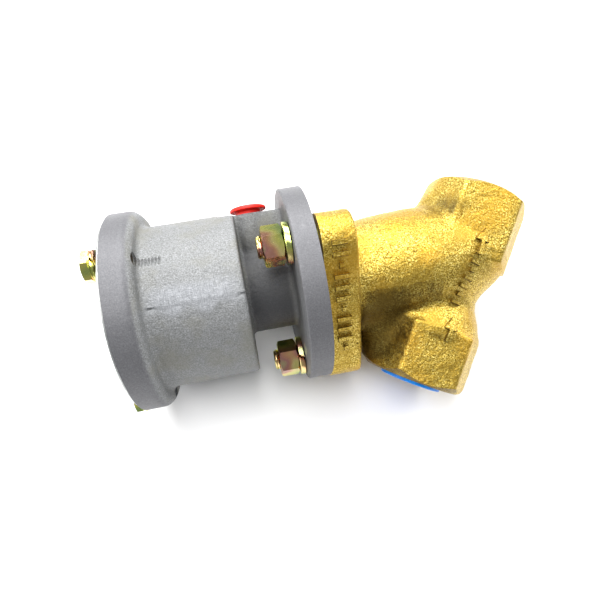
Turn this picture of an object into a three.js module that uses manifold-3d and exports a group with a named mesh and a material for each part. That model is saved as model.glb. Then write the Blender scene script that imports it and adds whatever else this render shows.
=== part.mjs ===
// Piston-operated Y-pattern valve, 3/4 inch, lying at rest on its flange rims and lower port.
// Valve frame, in millimetres: x runs along the stem from the cover to the body, with x = 0 on the
// actuator's mounting face; y points to the side with the air port; z completes the frame.
// The exported group is turned into the lying pose, with +Z up and its origin under its middle.
import * as THREE from 'three';
import { mergeVertices } from 'three/addons/utils/BufferGeometryUtils.js';
import Module from 'manifold-3d';

const wasm = await Module();
wasm.setup();

// ---------------------------------------------------------------- driving dimensions
const GAP = 0.3; // clearance between touching pieces
const INCH = 25.4;

const FLANGE_R = 42.75; // cover flange and mounting flange
const COVER_FACE_X = -79.2;
const COVER_FLANGE_THICK = 11.3;
const CYLINDER_R = 35.2;
const CYLINDER_BORE_R = 31.75;
const CYLINDER_FLOOR_X = -36.2;
const SHOULDER_X = -29.8;
const NECK_R = 18.2;
const MOUNT_FLANGE_THICK = 9.3;

const AIR_PORT_X = -22.8;
const AIR_BOSS_TOP = 33.4;
const AIR_BOSS_R = 9.6;
const AIR_PORT_R = 5.6;

const BOLT_ANGLES = [60, 180, 300]; // degrees from y towards z
const NUT_ROLLS = [-23, -27, 11]; // degrees, one a nut
const SCREW_ROLLS = [-10, -5, 20];
const STUD_CIRCLE_R = 32.4;
const STUD_R = (3 / 8) * INCH / 2;
const STUD_NUT_AF = (9 / 16) * INCH;
const STUD_NUT_THICK = 8.3;
const STUD_WASHER_R = 8.65;
const STUD_WASHER_THICK = 2.4;
const COVER_SCREW_CIRCLE_R = 37.7;
const COVER_SCREW_R = (1 / 4) * INCH / 2;
const COVER_SCREW_AF = (7 / 16) * INCH;
const COVER_SCREW_HEAD = 3.4;
const COVER_WASHER_R = 6.2;
const COVER_WASHER_THICK = 1.1;
const COVER_THICK = 1;
const COVER_R = 41.6;

const BODY_FACE_X = 1.2;
const BODY_FLANGE_THICK = 13.9;
const LOBE_R = 10.8;
const FLANGE_FLAT_R = 28.4;
const OUTLINE_SHIFT_Y = -0.9; // the cast outline sits a little low round its studs
const BARREL_R = 25.6;
const RUN_ANGLE = THREE.MathUtils.degToRad(60); // pipe run against the stem
const RUN_CROSSING_X = 69; // where the run's axis meets the stem's
const UPPER_ARM = 30.4;
const LOWER_ARM = 60.5;
const HEX_AF = 1.75 * INCH;
const HEX_ROLL = THREE.MathUtils.degToRad(-4.5);
const HEX_DRAFT = 15; // degrees, on the upper hexagon's side towards the actuator
const HEX_DRAFT_REACH = 28.15; // from the crossing to the drafted plane
const HEX_CHAMFER_R = 21.2; // radius of the flat end face
const HEX_CHAMFER_SLOPE = 0.7;
const PORT_R = 12.1; // inside the 3/4 inch pipe thread
const CHAMBER_R = 20;
const SEAT_X = 56;
const SEAT_BORE_R = 9.5;

const STEM_R = (3 / 8) * INCH / 2;
const STEM_THIN_R = 3.7;
const STEM_TIP_R = 3;
const PISTON_THICK = 11.4;
const PISTON_X = CYLINDER_FLOOR_X - 2 * GAP; // face towards the floor, valve shut
const PACKING_R = 9.5;

// ---------------------------------------------------------------- shape helpers
function removeSlivers(indices) {
  const kept = [];
  for (let i = 0; i < indices.length; i += 3) {
    const [a, b, c] = [indices[i], indices[i + 1], indices[i + 2]];
    if (a !== b && b !== c && c !== a) kept.push(a, b, c);
  }
  return kept;
}

function signedVolume(positions, indices) {
  const [a, b, c] = [new THREE.Vector3(), new THREE.Vector3(), new THREE.Vector3()];
  let volume = 0;
  for (let i = 0; i < indices.length; i += 3) {
    a.fromArray(positions, indices[i] * 3);
    b.fromArray(positions, indices[i + 1] * 3);
    c.fromArray(positions, indices[i + 2] * 3);
    volume += a.dot(b.cross(c)) / 6;
  }
  return volume;
}

function solid(geometry) {
  const bare = geometry.clone();
  bare.deleteAttribute('normal');
  bare.deleteAttribute('uv');
  const merged = mergeVertices(bare, 1e-4);
  const positions = merged.attributes.position.array;
  const indices = removeSlivers(merged.index.array);
  if (signedVolume(positions, indices) < 0) indices.reverse();
  const mesh = new wasm.Mesh({
    numProp: 3,
    vertProperties: Float32Array.from(positions),
    triVerts: Uint32Array.from(indices),
  });
  return new wasm.Manifold(mesh);
}

function geometryOf(manifold) {
  const mesh = manifold.getMesh();
  const geometry = new THREE.BufferGeometry();
  geometry.setAttribute('position', new THREE.BufferAttribute(new Float32Array(mesh.vertProperties), 3));
  geometry.setIndex(Array.from(mesh.triVerts));
  geometry.computeVertexNormals();
  return geometry;
}

// A profile of [x, radius] pairs turned about the stem axis.
function turned(profile, segments = 32) {
  const points = profile.map(([x, radius]) => new THREE.Vector2(radius, x));
  const geometry = new THREE.LatheGeometry(points, segments);
  geometry.rotateZ(-Math.PI / 2);
  return solid(geometry);
}

function rod(x0, x1, radius, segments = 32) {
  return turned([[x0, 0], [x0, radius], [x1, radius], [x1, 0]], segments);
}

function ring(x0, x1, inner, outer, segments = 32) {
  return turned([[x0, inner], [x0, outer], [x1, outer], [x1, inner], [x0, inner]], segments);
}

function hexPrism(x0, x1, acrossFlats, roll = 0) {
  const geometry = new THREE.CylinderGeometry(
    acrossFlats / Math.sqrt(3), acrossFlats / Math.sqrt(3), x1 - x0, 6);
  geometry.rotateZ(-Math.PI / 2);
  geometry.rotateX(roll);
  geometry.translate((x0 + x1) / 2, 0, 0);
  return solid(geometry);
}

function boxBetween(low, high) {
  const size = high.map((value, i) => value - low[i]);
  const geometry = new THREE.BoxGeometry(...size);
  geometry.translate(...low.map((value, i) => value + size[i] / 2));
  return solid(geometry);
}

// Moves a solid that was made about the stem axis so that its x axis points along a direction.
function aimed(shape, origin, direction) {
  const turn = new THREE.Quaternion().setFromUnitVectors(new THREE.Vector3(1, 0, 0), direction);
  const matrix = new THREE.Matrix4().compose(origin, turn, new THREE.Vector3(1, 1, 1));
  return shape.transform(matrix.elements);
}

function onBoltCircle(shape, circleR, degrees) {
  const angle = THREE.MathUtils.degToRad(degrees);
  return shape.translate([0, circleR * Math.cos(angle), circleR * Math.sin(angle)]);
}

function arcPoints(centreX, centreR, radius, fromDegrees, toDegrees, steps) {
  return Array.from({ length: steps + 1 }, (_, i) => {
    const angle = THREE.MathUtils.degToRad(fromDegrees + (toDegrees - fromDegrees) * i / steps);
    return [centreX + radius * Math.cos(angle), centreR + radius * Math.sin(angle)];
  });
}

class Helix extends THREE.Curve {
  constructor(x0, x1, radius, turns) {
    super();
    Object.assign(this, { x0, x1, radius, turns });
  }

  getPoint(t, target = new THREE.Vector3()) {
    const angle = t * this.turns * 2 * Math.PI;
    const x = this.x0 + (this.x1 - this.x0) * t;
    return target.set(x, this.radius * Math.cos(angle), this.radius * Math.sin(angle));
  }
}

function coilSpring(x0, x1, radius, wireR, turns, stepsPerTurn, sides) {
  const section = new THREE.Shape();
  for (let i = 0; i < sides; i += 1) {
    const angle = (i / sides) * 2 * Math.PI;
    const place = i === 0 ? 'moveTo' : 'lineTo';
    section[place](wireR * Math.cos(angle), wireR * Math.sin(angle));
  }
  const extrudePath = new Helix(x0 + wireR, x1 - wireR, radius, turns);
  const steps = Math.round(turns * stepsPerTurn);
  return solid(new THREE.ExtrudeGeometry(section, { steps, extrudePath, bevelEnabled: false }));
}

// ---------------------------------------------------------------- fasteners
function chamferedHex(x0, x1, acrossFlats, chamferLow, chamferHigh, rollDegrees = 0) {
  const corner = acrossFlats / Math.sqrt(3) + 0.01;
  const face = acrossFlats / 2 * 0.96;
  const rise = (corner - face) * Math.tan(Math.PI / 6);
  const profile = [[x0, 0]];
  if (chamferLow) profile.push([x0, face], [x0 + rise, corner]);
  else profile.push([x0, corner]);
  if (chamferHigh) profile.push([x1 - rise, corner], [x1, face]);
  else profile.push([x1, corner]);
  profile.push([x1, 0]);
  const flats = hexPrism(x0, x1, acrossFlats, THREE.MathUtils.degToRad(rollDegrees));
  return flats.intersect(turned(profile, 12));
}

function splitWasher(x0, thick, inner, outer) {
  const slit = boxBetween([x0 - 1, inner - 1, -0.5], [x0 + thick + 1, outer + 1, 0.5]);
  return ring(x0, x0 + thick, inner, outer, 20).subtract(slit);
}

function stud() {
  const tip = 1;
  const low = -MOUNT_FLANGE_THICK - STUD_WASHER_THICK - STUD_NUT_THICK - 2 * GAP - 2.1;
  const high = BODY_FACE_X + 11.3;
  return turned([[low, 0], [low, STUD_R - tip], [low + tip, STUD_R], [high, STUD_R], [high, 0]], 16);
}

function studNut(rollDegrees) {
  const high = -MOUNT_FLANGE_THICK - STUD_WASHER_THICK - 2 * GAP;
  const nut = chamferedHex(high - STUD_NUT_THICK, high, STUD_NUT_AF, true, true, rollDegrees);
  return nut.subtract(rod(high - 20, high + 1, STUD_R + GAP, 16));
}

function studWasher() {
  const low = -MOUNT_FLANGE_THICK - STUD_WASHER_THICK - GAP;
  return splitWasher(low, STUD_WASHER_THICK, STUD_R + GAP, STUD_WASHER_R);
}

const COVER_OUTSIDE_X = COVER_FACE_X - GAP - COVER_THICK;

function coverScrew(rollDegrees) {
  const seat = COVER_OUTSIDE_X - 2 * GAP - COVER_WASHER_THICK;
  const head = chamferedHex(seat - COVER_SCREW_HEAD, seat, COVER_SCREW_AF, true, false, rollDegrees);
  return head.add(rod(seat - 1, COVER_FACE_X + 9, COVER_SCREW_R, 16));
}

function coverWasher() {
  const low = COVER_OUTSIDE_X - GAP - COVER_WASHER_THICK;
  return splitWasher(low, COVER_WASHER_THICK, COVER_SCREW_R + GAP, COVER_WASHER_R);
}

// ---------------------------------------------------------------- actuator housing
function housingBlank() {
  const edge = 4.4;
  const flangeBack = COVER_FACE_X + COVER_FLANGE_THICK;
  const fillet = 3.8;
  const profile = [
    [COVER_FACE_X, 0],
    [COVER_FACE_X, FLANGE_R],
    ...arcPoints(flangeBack - edge, FLANGE_R - edge, edge, 90, 10, 4),
    ...arcPoints(flangeBack + fillet, CYLINDER_R + fillet, fillet, 180, 270, 4),
    ...arcPoints(SHOULDER_X - 1, CYLINDER_R - 1, 1, 90, 0, 2),
    [SHOULDER_X, NECK_R],
    [-MOUNT_FLANGE_THICK, NECK_R],
    [-MOUNT_FLANGE_THICK, FLANGE_R],
    [0, FLANGE_R],
    [0, 0],
  ];
  return turned(profile, 44);
}

function airBoss() {
  const up = new THREE.Vector3(0, 1, 0);
  const post = aimed(rod(0, AIR_BOSS_TOP, AIR_BOSS_R, 22), new THREE.Vector3(AIR_PORT_X, 0, 0), up);
  const web = boxBetween([AIR_PORT_X, 0, -9], [-MOUNT_FLANGE_THICK + 1, AIR_BOSS_TOP, 9]);
  return post.add(web);
}

function airPassages() {
  const up = new THREE.Vector3(0, 1, 0);
  const portFloor = 14;
  const drillY = 16.4;
  const port = aimed(
    rod(portFloor, AIR_BOSS_TOP + 5, AIR_PORT_R, 20), new THREE.Vector3(AIR_PORT_X, 0, 0), up);
  const feed = rod(CYLINDER_FLOOR_X - 1, AIR_PORT_X, 2.2, 12).translate([0, drillY, 0]);
  return port.add(feed);
}

function stemBores() {
  const bushing = rod(CYLINDER_FLOOR_X - 1, -24.4, 7.3, 24);
  const waist = rod(-25, -21, STEM_R + GAP, 24);
  const packing = rod(-22, 1, PACKING_R, 24);
  const snapGroove = rod(-1.9, -0.9, PACKING_R + 1, 24);
  return bushing.add(waist).add(packing).add(snapGroove);
}

function actuatorHousing() {
  let housing = housingBlank().add(airBoss());
  housing = housing.subtract(rod(COVER_FACE_X - 1, CYLINDER_FLOOR_X, CYLINDER_BORE_R, 44));
  housing = housing.subtract(stemBores()).subtract(airPassages());
  const screwHole = rod(COVER_FACE_X - 1, COVER_FACE_X + 20.3, COVER_SCREW_R + GAP, 16);
  const studHole = rod(-MOUNT_FLANGE_THICK - 1, 1, STUD_R + GAP, 16);
  for (const degrees of BOLT_ANGLES) {
    housing = housing.subtract(onBoltCircle(screwHole, COVER_SCREW_CIRCLE_R, degrees));
    housing = housing.subtract(onBoltCircle(studHole, STUD_CIRCLE_R, degrees));
  }
  return housing;
}

function coverPlate() {
  let plate = rod(COVER_OUTSIDE_X, COVER_FACE_X - GAP, COVER_R, 44);
  const hole = rod(COVER_OUTSIDE_X - 1, COVER_FACE_X + 1, COVER_SCREW_R + GAP, 16);
  for (const degrees of BOLT_ANGLES) {
    plate = plate.subtract(onBoltCircle(hole, COVER_SCREW_CIRCLE_R, degrees));
  }
  const vent = rod(COVER_OUTSIDE_X - 1, COVER_FACE_X + 1, 2.5, 16);
  return plate.subtract(vent.translate([0, 14, 0]));
}

// ---------------------------------------------------------------- parts inside the actuator
function piston() {
  const left = PISTON_X - PISTON_THICK;
  const outer = CYLINDER_BORE_R - GAP;
  const groove = outer - 3.2;
  const profile = [
    [left, STEM_THIN_R + GAP], [left, outer],
    [left + 3.4, outer], [left + 3.4, groove], [left + 8, groove], [left + 8, outer],
    [PISTON_X, outer], [PISTON_X, STEM_THIN_R + GAP], [left, STEM_THIN_R + GAP],
  ];
  return turned(profile, 36);
}

function pistonSeal() {
  const left = PISTON_X - PISTON_THICK + 3.4 + GAP;
  return ring(left, left + 4, CYLINDER_BORE_R - 3.2, CYLINDER_BORE_R - 0.2, 36);
}

function pistonWasher() {
  const right = PISTON_X - PISTON_THICK - GAP;
  return ring(right - 1.4, right, STEM_THIN_R + GAP, 8, 20);
}

function pistonNut() {
  const right = PISTON_X - PISTON_THICK - 1.4 - 2 * GAP;
  const nut = chamferedHex(right - 6, right, 0.5 * INCH, true, true);
  return nut.subtract(rod(right - 8, right + 1, STEM_THIN_R + GAP, 16));
}

function stem() {
  const low = PISTON_X - PISTON_THICK - 10;
  const profile = [
    [low, 0], [low, STEM_THIN_R], [PISTON_X + GAP, STEM_THIN_R], [PISTON_X + GAP, STEM_R],
    [46, STEM_R], [46, STEM_TIP_R], [64, STEM_TIP_R], [64, 0],
  ];
  return turned(profile, 24);
}

function returnSpring() {
  const low = COVER_FACE_X + GAP;
  const high = PISTON_X - PISTON_THICK - GAP;
  return coilSpring(low, high, 20, 1.7, 4.75, 14, 6);
}

// ---------------------------------------------------------------- stem bearing and packing
const PACKING_STACK = [
  // name, low x, high x
  ['packing_base_ring', -21.7, -19],
  ['packing_ring_1', -18.7, -16.5],
  ['packing_ring_2', -16.2, -14],
  ['packing_ring_3', -13.7, -11.5],
  ['packing_top_ring', -11.2, -9.2],
];

// Chevron section: a low V whose hollow side faces the body.
function packingRing(low, high) {
  const middle = (STEM_R + PACKING_R) / 2;
  const rise = 1;
  const inner = STEM_R + 0.15;
  const outer = PACKING_R - 0.15;
  const profile = [
    [low + rise, inner], [low, middle], [low + rise, outer], [high, outer],
    [high - rise, middle], [high, inner], [low + rise, inner],
  ];
  return turned(profile, 20);
}

function packingFollower(low, high) {
  return ring(low, high, STEM_R + 0.2, PACKING_R - 0.2, 20);
}

// ---------------------------------------------------------------- valve disc
function discHolder() {
  const profile = [
    [42.5, STEM_R + GAP], [42.5, 8], [45, 13.6], [51.2, 13.6], [51.2, STEM_TIP_R + GAP],
    [46.3, STEM_TIP_R + GAP], [46.3, STEM_R + GAP], [42.5, STEM_R + GAP],
  ];
  return turned(profile, 28);
}

function discNut() {
  const nut = chamferedHex(57.9, 62.2, (7 / 16) * INCH, true, true);
  return nut.subtract(rod(50, 70, STEM_TIP_R + GAP, 16));
}

// ---------------------------------------------------------------- body casting
const RUN_DIRECTION = new THREE.Vector3(Math.cos(RUN_ANGLE), Math.sin(RUN_ANGLE), 0);
const RUN_ORIGIN = new THREE.Vector3(RUN_CROSSING_X, 0, 0);

function alongRun(shape) {
  return aimed(shape, RUN_ORIGIN, RUN_DIRECTION);
}

// Three lobes round the studs, joined by shallow arcs that pass the flats' middle points.
function lobedOutline() {
  const lobeY = STUD_CIRCLE_R / 2;
  const lobeZ = STUD_CIRCLE_R * Math.sqrt(3) / 2;
  const offset = FLANGE_FLAT_R - lobeY;
  const sideR = (offset ** 2 + lobeZ ** 2 - LOBE_R ** 2) / (2 * (offset - LOBE_R));
  const centreY = FLANGE_FLAT_R - sideR;
  const tangent = Math.atan2(lobeZ, lobeY - centreY);
  const outline = [];
  for (let lobe = 0; lobe < 3; lobe += 1) {
    const turn = lobe * 2 * Math.PI / 3;
    const steps = 8;
    for (let i = -steps / 2; i < steps / 2; i += 1) {
      const a = tangent * i / (steps / 2);
      const y = centreY + sideR * Math.cos(a);
      const z = sideR * Math.sin(a);
      outline.push([y * Math.cos(turn) - z * Math.sin(turn), y * Math.sin(turn) + z * Math.cos(turn)]);
    }
    const lobeSteps = 10;
    for (let i = 0; i < lobeSteps; i += 1) {
      const a = tangent + (2 * Math.PI / 3 - 2 * tangent) * i / lobeSteps;
      const y = lobeY + LOBE_R * Math.cos(a);
      const z = lobeZ + LOBE_R * Math.sin(a);
      outline.push([y * Math.cos(turn) - z * Math.sin(turn), y * Math.sin(turn) + z * Math.cos(turn)]);
    }
  }
  return outline;
}

// A plate with the lobed outline between two x planes.
function lobedPlate(low, high) {
  const shape = new THREE.Shape(lobedOutline().map(([y, z]) => new THREE.Vector2(y, z)));
  const geometry = new THREE.ExtrudeGeometry(shape, { depth: high - low, bevelEnabled: false });
  const axes = new THREE.Matrix4().makeBasis(
    new THREE.Vector3(0, 1, 0), new THREE.Vector3(0, 0, 1), new THREE.Vector3(1, 0, 0));
  geometry.applyMatrix4(axes);
  geometry.translate(low, OUTLINE_SHIFT_Y, 0);
  return solid(geometry);
}

function barrel() {
  const flangeBack = BODY_FACE_X + BODY_FLANGE_THICK;
  const profile = [
    [flangeBack - 3, 0], [flangeBack - 3, 24.8], [flangeBack + 4, 23.6], [28, 24.4],
    [38, 25.3], [48, BARREL_R], [57, BARREL_R - 0.4],
    ...arcPoints(58, 4, 21, 80, 10, 6),
    [79.5, 0],
  ];
  return turned(profile, 32);
}

function hexEnd(inner, outer) {
  const corner = HEX_AF / Math.sqrt(3) + 0.01;
  const drop = (corner - HEX_CHAMFER_R) * HEX_CHAMFER_SLOPE;
  const profile = [[inner, 0], [inner, corner], [outer - drop, corner], [outer, HEX_CHAMFER_R], [outer, 0]];
  const flats = hexPrism(inner, outer, HEX_AF, Math.PI / 6 + HEX_ROLL);
  return flats.intersect(turned(profile, 24));
}

// The waisted tube between the two hexagon ends.
function runNeck() {
  const profile = [
    [-38, 0], [-38, 22], [-34, 22.4], [-28, 20], [-22, 16.8], [-18, 15.9], [-14, 17],
    [-6, 21], [-1, 22.6], [4, 22.6], [4, 0],
  ];
  return turned(profile, 30);
}

// Belly over the inlet passage, from the barrel down to the lower hexagon on the actuator's side.
function inletBelly() {
  const start = new THREE.Vector3(29, -10, 0);
  const end = new THREE.Vector3(36.8, -40.5, 0);
  const belly = aimed(rod(0, start.distanceTo(end), 12.8, 26), start, end.clone().sub(start).normalize());
  return belly.add(alongRun(rod(-40, -12, 15.5, 26).translate([0, 8, 0])));
}

function bodyBlank() {
  const draft = boxBetween([-20, HEX_DRAFT_REACH, -40], [60, 60, 40]).rotate([0, 0, -HEX_DRAFT]);
  const upperHex = alongRun(hexEnd(-1, UPPER_ARM).subtract(draft));
  const lowerHex = alongRun(hexEnd(-LOWER_ARM, -35).mirror([1, 0, 0]).translate([-LOWER_ARM - 35, 0, 0]));
  const flange = lobedPlate(BODY_FACE_X, BODY_FACE_X + BODY_FLANGE_THICK);
  return flange.add(barrel()).add(alongRun(runNeck())).add(inletBelly()).add(upperHex).add(lowerHex);
}

// Lower port to the chamber round the disc, through the seat, and out to the upper port.
function bodyPassages() {
  const chamber = rod(BODY_FACE_X - 1, SEAT_X - 3, CHAMBER_R).add(rod(SEAT_X - 4, SEAT_X, 16));
  const seat = rod(SEAT_X - 1, 66, SEAT_BORE_R, 24);
  const behindSeat = solid(new THREE.SphereGeometry(13, 20, 12)).translate([70.5, 3, 0]);
  const upperBore = alongRun(rod(5, UPPER_ARM + 5, PORT_R, 28));
  const lowerBore = alongRun(rod(-LOWER_ARM - 5, -36, PORT_R, 28));
  const riserStart = new THREE.Vector3(51, -33, 0);
  const riserEnd = new THREE.Vector3(38, -6, 0);
  const riserAim = riserEnd.clone().sub(riserStart).normalize();
  const riser = aimed(rod(-4, riserStart.distanceTo(riserEnd), 10.5, 20), riserStart, riserAim);
  return chamber.add(riser).add(lowerBore).add(seat.add(behindSeat).add(upperBore));
}

// The seat ring stands round the orifice so that the disc meets a narrow land.
function seatRing() {
  return ring(SEAT_X - 2.5, SEAT_X + 2, SEAT_BORE_R, 11.6, 24);
}

function valveBody() {
  let body = bodyBlank().subtract(bodyPassages());
  const studHole = rod(BODY_FACE_X - 1, BODY_FACE_X + 11.7, STUD_R + GAP, 16);
  for (const degrees of BOLT_ANGLES) {
    body = body.subtract(onBoltCircle(studHole, STUD_CIRCLE_R, degrees));
  }
  return body;
}

function bodyGasket() {
  return ring(0.25, BODY_FACE_X - 0.25, CHAMBER_R - 1, 26.4, 36);
}

// ---------------------------------------------------------------- shipping plugs
const BLUE_FLANGE_R = 13.95;
const RED_FLANGE_R = 8.1;
const RED_STANDOFF = 2; // the tapered plug stops before its flange meets the boss

// Hollow push-in plug along x: flange outside the port at x = 0, cup inside at x < 0.
function portPlug(flangeR, flangeThick, cupR, depth, wall) {
  const profile = [
    [GAP, cupR], [GAP, flangeR], [GAP + flangeThick, flangeR], [GAP + flangeThick, cupR - wall],
    [-depth + wall, cupR - wall - 0.6], [-depth + wall, 0], [-depth, 0], [-depth, cupR - 0.8], [GAP, cupR],
  ];
  return turned(profile, 26);
}

function bluePortPlug() {
  const outward = RUN_DIRECTION.clone().negate();
  const face = RUN_ORIGIN.clone().addScaledVector(outward, LOWER_ARM);
  return aimed(portPlug(BLUE_FLANGE_R, 1.6, PORT_R - GAP, 11, 1.4), face, outward);
}

function redAirPlug() {
  const outward = new THREE.Vector3(0, 1, 0);
  const face = new THREE.Vector3(AIR_PORT_X, AIR_BOSS_TOP, 0);
  const low = RED_STANDOFF + GAP;
  const cap = turned([
    [-6, 0], [-6, AIR_PORT_R - GAP - 0.6], [low, AIR_PORT_R - GAP], [low, RED_FLANGE_R],
    [low + 1.2, RED_FLANGE_R], [low + 2, RED_FLANGE_R - 2], [low + 2.4, 0],
  ], 24);
  return aimed(cap, face, outward);
}

// ---------------------------------------------------------------- assembly
function look(color, roughness, metalness) {
  return new THREE.MeshStandardMaterial({ color, roughness, metalness });
}

const castAluminium = () => look(0x9a9aa2, 0.75, 0.7);
const castBronze = () => look(0xb98d2e, 0.6, 0.85);
const zincSteel = () => look(0xc9b46a, 0.35, 0.9);
const brightSteel = () => look(0xd6d8da, 0.3, 0.9);
const whitePlastic = () => look(0xf0efe8, 0.6, 0);
const blackRubber = () => look(0x1c1c1c, 0.8, 0);
const springSteel = () => look(0x8d8f93, 0.4, 0.9);

const valve = new THREE.Group();

function place(name, shape, material) {
  const mesh = new THREE.Mesh(geometryOf(shape), material);
  mesh.name = name;
  valve.add(mesh);
}

place('actuator_housing', actuatorHousing(), castAluminium());
place('cover_plate', coverPlate(), brightSteel());
place('valve_body', valveBody().add(seatRing()), castBronze());
place('body_gasket', bodyGasket(), blackRubber());

BOLT_ANGLES.forEach((degrees, i) => {
  const screw = coverScrew(SCREW_ROLLS[i]);
  place(`cover_screw_${i + 1}`, onBoltCircle(screw, COVER_SCREW_CIRCLE_R, degrees), zincSteel());
  place(`cover_lock_washer_${i + 1}`, onBoltCircle(coverWasher(), COVER_SCREW_CIRCLE_R, degrees), zincSteel());
  place(`body_stud_${i + 1}`, onBoltCircle(stud(), STUD_CIRCLE_R, degrees), zincSteel());
  place(`stud_nut_${i + 1}`, onBoltCircle(studNut(NUT_ROLLS[i]), STUD_CIRCLE_R, degrees), zincSteel());
  place(`stud_lock_washer_${i + 1}`, onBoltCircle(studWasher(), STUD_CIRCLE_R, degrees), zincSteel());
});

place('piston', piston(), look(0xc2c4c8, 0.4, 0.8));
place('piston_seal', pistonSeal(), blackRubber());
place('piston_washer', pistonWasher(), brightSteel());
place('piston_nut', pistonNut(), brightSteel());
place('stem', stem(), brightSteel());
place('return_spring', returnSpring(), springSteel());

place('stem_bushing', ring(CYLINDER_FLOOR_X + 0.2, -28, STEM_R + 0.15, 7), castBronze());
place('stem_o_ring', ring(-27.6, -24.8, STEM_R + 0.15, 7), blackRubber());
PACKING_STACK.forEach(([name, low, high]) => {
  const isRing = name.startsWith('packing_ring');
  const shape = isRing ? packingRing(low, high) : packingFollower(low, high);
  place(name, shape, isRing ? whitePlastic() : castBronze());
});
place('packing_spring', coilSpring(-8.9, -3.7, 7.3, 0.7, 2.5, 12, 5), springSteel());
place('packing_spring_seat', ring(-3.4, -2.1, STEM_R + GAP, PACKING_R - 0.2, 24), brightSteel());
const snapRingSlit = boxBetween([-3, 0, -1.6], [0, PACKING_R + 2, 1.6]);
place('packing_snap_ring', ring(-1.75, -1.05, 7.6, PACKING_R + 0.7, 24).subtract(snapRingSlit), springSteel());

place('disc_holder', discHolder(), brightSteel());
place('seat_disc', ring(51.5, SEAT_X - GAP - 2.5, STEM_TIP_R + GAP, 13.2, 28), whitePlastic());
place('disc_retainer', ring(55.9, 57.6, STEM_TIP_R + GAP, 7.6, 24), brightSteel());
place('disc_nut', discNut(), brightSteel());

place('blue_port_plug', bluePortPlug(), look(0x1478dc, 0.45, 0));
place('red_air_plug', redAirPlug(), look(0xff1400, 0.45, 0));

// ---------------------------------------------------------------- lying pose
// Both flange rims touch the floor, and the valve is rolled until the lower port's hexagon does too.
const REST_ROLL = THREE.MathUtils.degToRad(24.4);
valve.rotation.set(REST_ROLL, 0, 0);
const part = new THREE.Group();
part.add(valve);
part.updateMatrixWorld(true);
const extent = new THREE.Box3().setFromObject(part, true);
const middle = extent.getCenter(new THREE.Vector3());
part.position.set(-middle.x, -middle.y, -extent.min.z);
part.updateMatrixWorld(true);

export default part;
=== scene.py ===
# Piston-operated Y-pattern valve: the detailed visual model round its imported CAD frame.
# Shapes are worked out in millimetres in the valve's own frame, as the CAD part is: x runs along the
# stem from the cover to the body, y points to the side with the air port, z completes the frame.
import math

import bpy
import numpy as np
from mathutils import Euler, Matrix, Vector


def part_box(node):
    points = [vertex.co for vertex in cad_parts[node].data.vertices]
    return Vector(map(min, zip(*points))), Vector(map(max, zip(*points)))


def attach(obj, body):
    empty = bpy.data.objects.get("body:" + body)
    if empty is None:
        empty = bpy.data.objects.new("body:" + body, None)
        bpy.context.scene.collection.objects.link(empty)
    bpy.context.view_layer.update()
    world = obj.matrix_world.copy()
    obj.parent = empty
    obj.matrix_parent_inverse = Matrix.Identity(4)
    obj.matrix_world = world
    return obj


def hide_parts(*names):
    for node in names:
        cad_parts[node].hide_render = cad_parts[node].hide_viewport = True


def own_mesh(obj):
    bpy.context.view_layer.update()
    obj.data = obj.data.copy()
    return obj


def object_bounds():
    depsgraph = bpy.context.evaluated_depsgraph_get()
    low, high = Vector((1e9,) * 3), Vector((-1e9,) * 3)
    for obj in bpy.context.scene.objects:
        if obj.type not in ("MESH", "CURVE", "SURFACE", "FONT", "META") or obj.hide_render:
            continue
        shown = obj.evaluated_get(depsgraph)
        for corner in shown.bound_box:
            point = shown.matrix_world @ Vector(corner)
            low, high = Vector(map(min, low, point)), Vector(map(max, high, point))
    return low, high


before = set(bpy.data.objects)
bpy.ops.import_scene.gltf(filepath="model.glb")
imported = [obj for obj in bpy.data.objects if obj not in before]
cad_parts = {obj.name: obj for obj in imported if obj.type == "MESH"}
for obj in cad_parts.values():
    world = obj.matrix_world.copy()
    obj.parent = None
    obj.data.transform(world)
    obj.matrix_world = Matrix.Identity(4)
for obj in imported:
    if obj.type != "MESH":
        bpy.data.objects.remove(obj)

CAD_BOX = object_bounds()
MM = 0.001
UP_Y = 90.0  # degrees from x towards y

# ---------------------------------------------------------------- dimensions, in millimetres
FLANGE_R = 42.75
COVER_FACE_X = -79.2
COVER_FLANGE_BACK_X = -67.9
CYLINDER_R = 35.2
BORE_R = 31.75
FLOOR_X = -36.2
SHOULDER_X = -29.8
NECK_R = 18.2
MOUNT_BACK_X = -9.3
BUSHING_R = 7.3
STEM_HOLE_R = 5.1
PACKING_R = 9.5
AIR_X = -22.8
AIR_TOP = 33.4
AIR_BOSS_R = 9.6
AIR_PORT_R = 5.6
AIR_PORT_FLOOR = 14
AIR_FEED_R = 2.2
AIR_FEED_Y = 16.4
BOLT_ANGLES = (60, 180, 300)  # degrees from y towards z
STUD_CIRCLE_R = 32.4
STUD_R = 4.7625
STUD_PITCH = 1.5875
STUD_NUT_AF = 14.29
STUD_NUT_THICK = 8.3
STUD_WASHER_THICK = 2.4
STUD_WASHER_R = 8.65
NUT_ROLLS = (67, 63, 41)
COVER_CIRCLE_R = 37.7
SCREW_R = 3.175
SCREW_PITCH = 1.27
SCREW_AF = 11.11
SCREW_ROLLS = (80, 85, 50)
BODY_FACE_X = 1.2
BODY_BACK_X = 15.1
LOBE_R = 10.8
FLAT_R = 28.4
OUTLINE_SHIFT_Y = -0.9
RUN_ANGLE = 60
RUN_COS, RUN_SIN = math.cos(math.radians(RUN_ANGLE)), math.sin(math.radians(RUN_ANGLE))
RUN_CROSSING = (69.0, 0.0, 0.0)
UPPER_ARM = 30.4
LOWER_ARM = 60.5
HEX_AF = 44.45
HEX_FLAT_ANGLE = 25.5
HEX_DRAFT = 15  # degrees, on the upper hexagon's side towards the actuator
HEX_DRAFT_REACH = 28.15
HEX_FACE_R = 21.2
HEX_SLOPE = 0.7
PORT_R = 12.1
PORT_PITCH = 1.814
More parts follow.
